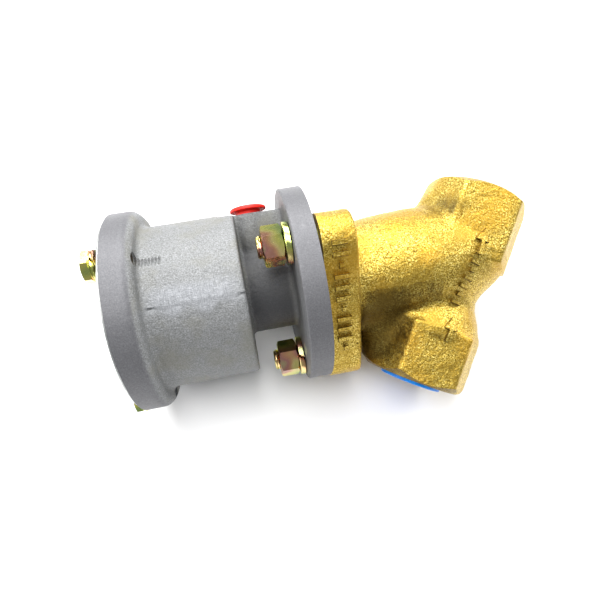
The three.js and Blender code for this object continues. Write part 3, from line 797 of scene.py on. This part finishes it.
def hex_nut(low, high, across, roll, thread_r):
    corner, face = across / math.sqrt(3) + 0.05, across / 2 * 0.97
    rise = (corner - face) * 0.55
    middle = (low + high) / 2
    flats = [(x, across / math.sqrt(3)) for x in np.linspace(low, high, 9)]
    thing = new_object("nut", turned(lathe(flats, 6), roll))
    envelope = lathe([(low, face), (low + rise * 0.45, (face + corner) / 2), (low + rise, corner),
                      (middle, corner), (high - rise, corner), (high - rise * 0.45, (face + corner) / 2),
                      (high, face)], 96)
    combine(thing, [envelope], "INTERSECT")
    bore = lathe([(low - 1, thread_r + 0.7), (low, thread_r + 0.7), (low + 0.9, thread_r),
                  (high - 0.9, thread_r), (high, thread_r + 0.7), (high + 1, thread_r + 0.7)], 64)
    return combine(thing, [bore])


def split_washer(low, thick, inner, outer, split):
    """A spring washer: chamfered section, slanted split, and ends that stand a little apart."""
    gap, bevel = 0.62, 0.28
    middle = (inner + outer) / 2
    section = [(0, inner + bevel), (bevel, inner), (thick - bevel, inner), (thick, inner + bevel),
               (thick, outer - bevel), (thick - bevel, outer), (bevel, outer), (0, outer - bevel)]
    rows = []
    for share in np.linspace(0, 1, 73):
        rows.append([])
        for x, radius in section:
            slant = (x / thick - 0.5) * 1.4 / middle
            angle = math.radians(split) + slant + gap / middle + share * (2 * math.pi - 2 * gap / middle)
            lean = 0.16 * (share - 0.5) * (1 - abs(2 * x / thick - 1))
            rows[-1].append((low + x + lean, radius * math.cos(angle), radius * math.sin(angle)))
    return skin(np.array(rows))


def build_fasteners(material):
    nut_high = MOUNT_BACK_X - STUD_WASHER_THICK - 2 * GAP
    nut_low = nut_high - STUD_NUT_THICK
    for number, (degrees, roll, split) in enumerate(zip(BOLT_ANGLES, NUT_ROLLS, (205, 88, 150)), 1):
        nut = hex_nut(nut_low, nut_high, STUD_NUT_AF, roll, STUD_R + GAP * 0.8)
        nut.name = f"hex_nut_{number}"
        nut.data.transform(Matrix.Translation(Vector(TURN @ (STUD_CIRCLE_R * direction(degrees))) * MM))
        finished(nut, material, "valve", [f"stud_nut_{number}"], 20)
        low = MOUNT_BACK_X - STUD_WASHER_THICK - GAP
        washer = split_washer(low, STUD_WASHER_THICK, STUD_R + GAP, STUD_WASHER_R, split)
        washer = new_object(f"spring_washer_{number}", at_bolt(washer, STUD_CIRCLE_R, degrees))
        finished(washer, material, "valve", [f"stud_lock_washer_{number}"], 25)
        stud = threaded(nut_low - 2.1, BODY_FACE_X + 11.3, STUD_R, 0.52, STUD_PITCH, 56, 0.9)
        stud = new_object(f"threaded_stud_{number}", at_bolt(stud, STUD_CIRCLE_R, degrees))
        finished(stud, material, "valve", [f"body_stud_{number}"], 50)
    seat = COVER_OUTSIDE_X - GAP
    for number, (degrees, roll, split) in enumerate(zip(BOLT_ANGLES, SCREW_ROLLS, (70, 190, 300)), 1):
        low = seat - COVER_WASHER_THICK
        washer = split_washer(low, COVER_WASHER_THICK, SCREW_R + GAP, COVER_WASHER_R, split)
        washer = new_object(f"cover_spring_washer_{number}", at_bolt(washer, COVER_CIRCLE_R, degrees))
        finished(washer, material, "valve", [f"cover_lock_washer_{number}"], 25)
        head_high = low - GAP
        head_low, across = head_high - COVER_HEAD, SCREW_AF
        corner, face = across / math.sqrt(3) + 0.05, across / 2 * 0.96
        rise = (corner - face) * 0.55
        flats = [(x, across / math.sqrt(3)) for x in np.linspace(head_low, head_high, 7)]
        screw = new_object(f"cover_hex_screw_{number}", turned(lathe(flats, 6), roll))
        envelope = lathe([(head_low, face - 0.3), (head_low + 0.12, face), (head_low + rise, corner),
                          (head_high - 0.35, corner), (head_high - 0.3, face + 0.1), (head_high, face)], 96)
        combine(screw, [envelope], "INTERSECT")
        shank = threaded(head_high - 0.6, COVER_FACE_X + 9, SCREW_R, 0.42, SCREW_PITCH, 40, 0.6)
        combine(screw, [shank], "UNION")
        screw.data.transform(Matrix.Translation(Vector(TURN @ (COVER_CIRCLE_R * direction(degrees))) * MM))
        finished(screw, material, "valve", [f"cover_screw_{number}"], 25)


def build_spring(material):
    low, high, radius, wire, turns = COVER_FACE_X + GAP, -48.5, 20.0, 1.7, 4.75
    shares = np.linspace(0, 1, int(turns * 40))
    flat = 0.7 / turns
    rise = np.clip((shares - flat) / (1 - 2 * flat), 0, 1)
    rise = low + wire + (high - low - 2 * wire) * rise
    rows = []
    for share, x in zip(shares, rise):
        spin = share * turns * 2 * math.pi
        out = np.array([0, math.cos(spin), math.sin(spin)])
        middle, ahead = np.array([x, 0, 0]) + out * radius, np.array([1, 0, 0])
        ring = [middle + wire * (math.cos(a) * out + math.sin(a) * ahead)
                for a in np.linspace(0, 2 * math.pi, 16, endpoint=False)]
        rows.append(ring)
    thing = finished(new_object("return_coil", skin(np.array(rows))), material, "valve",
                     ["return_spring"], 60)
    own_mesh(thing)


def build_plugs(blue, red):
    flange, cup, wall, front, back = 13.95, PORT_R - GAP, 1.4, GAP + 1.6, -11.0
    floor = back + wall
    profile = [
        (GAP, cup), (GAP, flange - 0.3), (GAP + 0.3, flange), (front - 0.5, flange),
        (front - 0.15, flange - 0.2), (front, flange - 0.6), (front, cup - wall + 0.5), (front - 0.5, cup - wall),
        (floor + 0.6, cup - wall - 0.6), (floor, cup - wall - 1.2), (floor, 2.2), (floor + 0.7, 1.6),
        (floor + 0.7, 0.2), (back, 0.2), (back, cup - 1.4), (back + 0.6, cup - 0.8), (-2.4, cup - 0.15),
        (-2.0, cup), (-1.4, cup)]
    shell = shifted(lathe(profile, 120, loop=True), (LOWER_ARM, 0, 0))
    thing = new_object("blue_shipping_plug", down_run(shell))
    finished(thing, blue, "blue_plug", ["blue_port_plug"], 40)
    flange, body = 8.1, AIR_PORT_R - GAP
    low = GAP + RED_STANDOFF
    rise, reach = 1.25, 7.6
    dome = [(low + 1.15 + rise * math.sin(a), flange - 0.15 - reach * (1 - math.cos(a)))
            for a in np.linspace(0, 1.4, 12)]
    profile = [(-6, body - 1.4), (-5.4, body - 0.6), (-1, body - 0.15), (low - 0.5, body), (low, body + 0.5),
               (low, flange - 0.25), (low + 0.25, flange), (low + 0.9, flange), *dome, (low + 2.4, 0.4)]
    thing = new_object("red_shipping_plug", aimed(lathe(profile, 96), (AIR_X, AIR_TOP, 0), UP_Y))
    finished(thing, red, "red_plug", ["red_air_plug"], 40)


# ---------------------------------------------------------------- materials


class Look:
    """A Principled material with a few helpers. Sizes are in millimetres on the object."""

    def __init__(self, name, metallic, roughness, colour):
        self.material = bpy.data.materials.new(name)
        self.material.use_nodes = True
        self.nodes = self.material.node_tree.nodes
        self.links = self.material.node_tree.links
        self.shader = self.nodes["Principled BSDF"]
        self.shader.inputs["Metallic"].default_value = metallic
        self.shader.inputs["Roughness"].default_value = roughness
        self.shader.inputs["Base Color"].default_value = (*colour, 1)
        self.places = self.nodes.new("ShaderNodeTexCoord").outputs["Object"]

    def wire(self, socket, value):
        if isinstance(value, bpy.types.NodeSocket):
            self.links.new(value, socket)
        elif isinstance(value, tuple) and len(value) == 3 and socket.type == "RGBA":
            socket.default_value = (*value, 1)
        else:
            socket.default_value = value

    def stretched(self, scale):
        node = self.nodes.new("ShaderNodeMapping")
        self.links.new(self.places, node.inputs["Vector"])
        node.inputs["Scale"].default_value = scale
        return node.outputs["Vector"]

    def noise(self, size, detail=3.0, rough=0.55, places=None):
        node = self.nodes.new("ShaderNodeTexNoise")
        self.links.new(places or self.places, node.inputs["Vector"])
        node.inputs["Scale"].default_value = 1 / (size * MM)
        node.inputs["Detail"].default_value = detail
        node.inputs["Roughness"].default_value = rough
        return node.outputs["Fac"]

    def ramp(self, value, stops):
        node = self.nodes.new("ShaderNodeValToRGB")
        self.links.new(value, node.inputs["Fac"])
        elements = node.color_ramp.elements
        while len(elements) < len(stops):
            elements.new(0.5)
        for element, (place, colour) in zip(elements, stops):
            element.position = place
            element.color = (*colour, 1) if isinstance(colour, tuple) else (colour, colour, colour, 1)
        return node.outputs["Color"]

    def mix(self, share, a, b):
        node = self.nodes.new("ShaderNodeMix")
        node.data_type = "RGBA"
        colour_a, colour_b, colour_out = 6, 7, 2
        self.wire(node.inputs["Factor"], share)
        self.wire(node.inputs[colour_a], a)
        self.wire(node.inputs[colour_b], b)
        return node.outputs[colour_out]

    def maths(self, operation, a, b=0.0, clamp=False):
        node = self.nodes.new("ShaderNodeMath")
        node.operation, node.use_clamp = operation, clamp
        self.wire(node.inputs[0], a)
        self.wire(node.inputs[1], b)
        return node.outputs[0]

    def masks(self):
        node = self.nodes.new("ShaderNodeAttribute")
        node.attribute_name = "masks"
        split = self.nodes.new("ShaderNodeSeparateColor")
        self.links.new(node.outputs["Color"], split.inputs["Color"])
        return split.outputs

    def bump(self, height, depth, normal=None):
        """Depth is in millimetres of relief for a height from 0 to 1."""
        node = self.nodes.new("ShaderNodeBump")
        node.inputs["Distance"].default_value = depth * MM
        self.wire(node.inputs["Height"], height)
        if normal is not None:
            self.links.new(normal, node.inputs["Normal"])
        return node.outputs["Normal"]

    def set(self, **inputs):
        for name, value in inputs.items():
            self.wire(self.shader.inputs[name.replace("_", " ")], value)
        return self.material


def cast_aluminium():
    look = Look("cast_aluminium", 0.25, 0.6, (0.3, 0.3, 0.31))
    masks = look.masks()
    fine, coarse, patch = look.noise(0.5, 4), look.noise(1.3, 3), look.noise(14, 3)
    skin_colour = look.ramp(fine, [
        (0.32, (0.13, 0.133, 0.13)), (0.5, (0.205, 0.21, 0.21)), (0.68, (0.30, 0.305, 0.31))])
    stained = look.mix(look.ramp(patch, [(0.48, 0.0), (0.66, 0.55)]), skin_colour, (0.19, 0.185, 0.15))
    smooth_colour = look.ramp(fine, [
        (0.3, (0.10, 0.10, 0.107)), (0.6, (0.14, 0.14, 0.148)), (0.75, (0.185, 0.185, 0.194))])
    colour = look.mix(masks["Red"], stained, smooth_colour)
    scratches = look.noise(0.28, 3, 0.6, look.stretched((1, 0.09, 0.09)))
    ground_colour = look.ramp(scratches, [(0.35, (0.24, 0.25, 0.265)), (0.65, (0.42, 0.43, 0.46))])
    colour = look.mix(look.maths("MULTIPLY", masks["Green"], 0.6), colour, ground_colour)
    colour = look.mix(look.maths("MULTIPLY", masks["Blue"], 0.88), colour, (0.035, 0.035, 0.038))
    rough = look.maths("ADD", look.maths("MULTIPLY", coarse, 0.25), 0.47)
    rough = look.maths("SUBTRACT", rough, look.maths("MULTIPLY", masks["Red"], 0.08))
    pits = look.maths("SUBTRACT", 1.0, masks["Red"])
    height = look.maths("ADD", look.maths("MULTIPLY", fine, 0.7), look.maths("MULTIPLY", coarse, 0.8))
    height = look.maths("MULTIPLY", height, look.maths("ADD", look.maths("MULTIPLY", pits, 0.72), 0.28))
    normal = look.bump(height, 0.3)
    normal = look.bump(look.maths("MULTIPLY", scratches, masks["Green"]), 0.1, normal)
    return look.set(Base_Color=colour, Roughness=rough, Normal=normal)


def cast_bronze():
    look = Look("cast_bronze", 0.92, 0.42, (0.7, 0.5, 0.17))
    masks = look.masks()
    fine, coarse, patch = look.noise(0.6, 4, 0.7), look.noise(1.25, 3), look.noise(9, 3)
    skin_colour = look.ramp(fine, [
        (0.36, (0.10, 0.062, 0.01)), (0.45, (0.36, 0.23, 0.03)), (0.54, (0.66, 0.47, 0.08)),
        (0.64, (0.99, 0.86, 0.30))])
    dull = look.mix(look.ramp(patch, [(0.42, 0.0), (0.66, 0.75)]), skin_colour, (0.42, 0.27, 0.035))
    stained = look.mix(look.maths("MULTIPLY", masks["Green"], 0.45), dull, (0.62, 0.34, 0.03))
    # The blue mask paints shade: dark brown in the hollows, on faces turned away from the light and beside the
    # raised marks.
    painted_shade = look.mix(look.maths("MULTIPLY", masks["Blue"], 0.8, True), stained, (0.055, 0.035, 0.008))
    colour = look.mix(masks["Red"], painted_shade, (0.80, 0.60, 0.24))
    rough = look.maths("ADD", look.maths("MULTIPLY", coarse, 0.3), 0.27)
    height = look.maths("ADD", look.maths("MULTIPLY", fine, 0.6), coarse)
    turning = look.maths("SUBTRACT", 1.0, look.maths("MULTIPLY", masks["Red"], 0.85))
    normal = look.bump(look.maths("MULTIPLY", height, turning), 0.34)
    return look.set(Base_Color=colour, Roughness=rough, Normal=normal)


def yellow_zinc():
    look = Look("yellow_zinc", 1.0, 0.26, (0.8, 0.65, 0.3))
    hue = look.noise(11, 1, 0.5)
    colour = look.ramp(hue, [
        (0.30, (0.42, 0.55, 0.18)), (0.40, (0.80, 0.78, 0.20)), (0.49, (0.88, 0.72, 0.30)),
        (0.56, (0.78, 0.42, 0.22)), (0.63, (0.60, 0.28, 0.24)), (0.72, (0.62, 0.66, 0.30))])
    worn = look.ramp(look.noise(0.7, 3), [(0.6, 0.0), (0.8, 0.4)])
    colour = look.mix(worn, colour, (0.62, 0.60, 0.45))
    rough = look.maths("ADD", look.maths("MULTIPLY", look.noise(0.9), 0.2), 0.1)
    return look.set(Base_Color=colour, Roughness=rough, Normal=look.bump(look.noise(0.8, 2), 0.015))


def plain_metal(name, low, high, roughness, grain_mm, stretch=(1, 1, 1), depth=0.02):
    look = Look(name, 1.0, roughness, high)
    lines = look.noise(grain_mm, 3, 0.6, look.stretched(stretch))
    colour = look.ramp(lines, [(0.3, low), (0.7, high)])
    rough = look.maths("ADD", look.maths("MULTIPLY", look.noise(3), 0.2), roughness - 0.1)
    return look.set(Base_Color=colour, Roughness=rough, Normal=look.bump(lines, depth))


def moulded(name, low, high, roughness, depth=0.02):
    look = Look(name, 0.0, roughness, high)
    colour = look.ramp(look.noise(6, 3), [(0.35, low), (0.65, high)])
    rough = look.maths("ADD", look.maths("MULTIPLY", look.noise(1.5), 0.15), roughness - 0.07)
    return look.set(Base_Color=colour, Roughness=rough, Normal=look.bump(look.noise(0.4, 3), depth))


def dress_cad_nodes(looks):
    """The inner CAD nodes keep their meshes and take procedural materials."""
    wear = {
        "machined_aluminium": ["piston"],
        "black_rubber": ["piston_seal", "stem_o_ring"],
        "stainless": ["stem", "piston_washer", "piston_nut", "packing_spring_seat", "disc_holder",
                      "disc_retainer", "disc_nut"],
        "bushing_bronze": ["stem_bushing", "packing_base_ring", "packing_top_ring"],
        "white_ptfe": ["packing_ring_1", "packing_ring_2", "packing_ring_3", "seat_disc"],
        "spring_steel": ["packing_spring", "packing_snap_ring"],
    }
    for name, nodes in wear.items():
        for node in nodes:
            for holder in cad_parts[node].material_slots:
                holder.material = looks[name]


# ---------------------------------------------------------------- stage, lights and camera
FLOOR_DROP = 0.0003  # metres under the part
CAMERA_LENS = 27.0
CAMERA_PLACE = (-27.669, 0, 204.077)  # millimetres, in the valve's frame
CAMERA_TURN = (0.037, -0.103, -0.176)


def area_light(name, place, target, size, power):
    data = bpy.data.lights.new(name, "AREA")
    data.shape, data.size, data.size_y, data.energy = "RECTANGLE", size[0], size[1], power
    light = placed(name, data)
    light.location = place
    light.rotation_euler = (Vector(target) - Vector(place)).to_track_quat("-Z", "Y").to_euler()


def build_stage():
    mesh = bpy.data.meshes.new("floor")
    side = 3.0
    corners = [(-side, -side, 0), (side, -side, 0), (side, side, 0), (-side, side, 0)]
    mesh.from_pydata(corners, [], [(0, 1, 2, 3)])
    floor = placed("floor", mesh)
    floor.location.z = CAD_BOX[0].z - FLOOR_DROP
    look = Look("pale_floor", 0.0, 0.9, (0.9, 0.9, 0.9))
    tone = look.ramp(look.noise(300, 2), [(0.4, (0.88, 0.88, 0.88)), (0.6, (0.91, 0.91, 0.91))])
    mesh.materials.append(look.set(Base_Color=tone))
    world = bpy.data.worlds.new("studio")
    bpy.context.scene.world = world
    world.use_nodes = True
    world.node_tree.nodes["Background"].inputs["Color"].default_value = (0.95, 0.97, 1.0, 1)
    world.node_tree.nodes["Background"].inputs["Strength"].default_value = 0.3
    bpy.context.scene.view_settings.view_transform = "Standard"


def build_lights():
    area_light("key", (-0.05, 0.55, 0.62), (0, 0, 0.03), (0.7, 0.5), 10.5)
    area_light("overhead", (-0.15, 0.0, 0.9), (0, 0, 0), (0.6, 0.5), 7)
    area_light("left", (-0.6, 0.05, 0.3), (-0.05, 0, 0.03), (0.4, 0.3), 2.2)
    area_light("side", (0.62, 0.15, 0.4), (0.02, 0, 0.03), (0.35, 0.35), 3)


def build_camera():
    """A 27 mm lens, 0.2 m off the stem's axis on the marked side."""
    tilt = np.array(Euler(CAMERA_TURN, "XYZ").to_matrix()) @ np.diag([1, -1, -1])
    right, down, forward = tilt
    turn = TURN @ np.array([right, -down, -forward]).T
    data = bpy.data.cameras.new("camera")
    data.lens, data.sensor_width = CAMERA_LENS, 36.0
    data.clip_start = 0.01
    camera = placed("camera", data)
    place = to_world(CAMERA_PLACE)
    camera.matrix_world = Matrix.Translation(Vector(place)) @ Matrix(turn.tolist()).to_4x4()
    bpy.context.scene.camera = camera


build_camera()
build_stage()
build_lights()

LOOKS = {
    "stainless": plain_metal("stainless", (0.42, 0.42, 0.42), (0.62, 0.62, 0.61), 0.3, 0.5, (0.1, 1, 1)),
    "machined_aluminium": plain_metal("machined_aluminium", (0.6, 0.6, 0.62), (0.82, 0.82, 0.84), 0.38, 0.6),
    "bushing_bronze": plain_metal("bushing_bronze", (0.5, 0.32, 0.12), (0.72, 0.5, 0.2), 0.35, 0.6),
    "spring_steel": plain_metal("spring_steel", (0.2, 0.2, 0.21), (0.4, 0.4, 0.41), 0.36, 0.8),
    "black_rubber": moulded("black_rubber", (0.012, 0.012, 0.012), (0.025, 0.025, 0.024), 0.65),
    "white_ptfe": moulded("white_ptfe", (0.78, 0.77, 0.73), (0.86, 0.86, 0.83), 0.5),
}
dress_cad_nodes(LOOKS)
build_housing(cast_aluminium())
build_body(cast_bronze())
build_cover(plain_metal("plated_cover", (0.42, 0.43, 0.42), (0.58, 0.59, 0.58), 0.42, 1.2, (1, 1, 0.15)))
build_gasket(moulded("gasket_fibre", (0.02, 0.02, 0.02), (0.05, 0.048, 0.045), 0.85, 0.06))
build_fasteners(yellow_zinc())
build_spring(LOOKS["spring_steel"])
build_plugs(moulded("blue_plastic", (0.0, 0.2, 0.84), (0.0, 0.26, 0.95), 0.4),
            moulded("red_plastic", (0.9, 0.006, 0.0), (0.98, 0.012, 0.0), 0.55))
